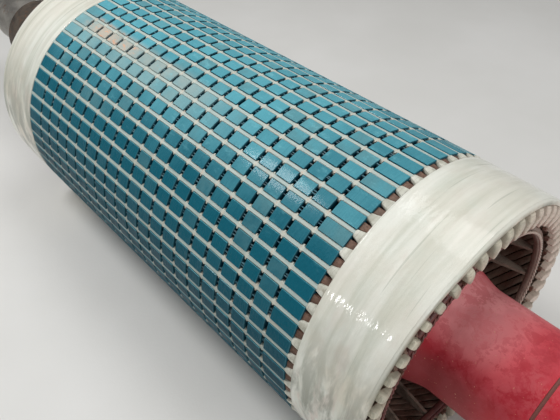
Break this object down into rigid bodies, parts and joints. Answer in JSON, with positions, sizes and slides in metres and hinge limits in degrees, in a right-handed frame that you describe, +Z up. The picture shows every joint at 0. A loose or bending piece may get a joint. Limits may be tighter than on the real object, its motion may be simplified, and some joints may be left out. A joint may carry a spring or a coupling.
{
  "type": "motor armature",
  "caption": "Large slotted armature on a stepped shaft, with wedged slots, radial air ducts, banded slanted end windings and wrapped noses at both ends",
  "frame": {"origin": "middle of the core, on the shaft's centre line", "axes": "+X along the shaft to the drive end, which has the keyway; +Z up; +Y level, to the left of someone who looks along +X"},
  "size_m": [3.8, 0.8154, 0.8146],
  "materials": {
    "core_paint": "satin",
    "wedge": "satin",
    "glass_tape": "gloss",
    "bar_tape": "satin",
    "nose_tape": "satin",
    "ring_tape": "satin",
    "block": "satin",
    "plate_paint": "satin",
    "shaft_paint": "satin"
  },
  "bodies": {
    "root": {"core_section_1": "core_paint", "core_section_2": "core_paint", "core_section_3": "core_paint", "slot_wedges": "wedge", "top_bars": "bar_tape", "bottom_bars": "bar_tape", "drive_noses": "nose_tape", "tail_noses": "nose_tape", "drive_glass_band": "glass_tape", "tail_glass_band": "glass_tape", "drive_support_ring": "ring_tape", "tail_support_ring": "ring_tape", "drive_packing_blocks": "block", "tail_packing_blocks": "block", "drive_ring_brackets": "plate_paint", "tail_ring_brackets": "plate_paint", "drive_pressure_plate": "plate_paint", "tail_pressure_plate": "plate_paint", "spider_ribs": "plate_paint", "shaft": "shaft_paint"}
  },
  "joints": []
}
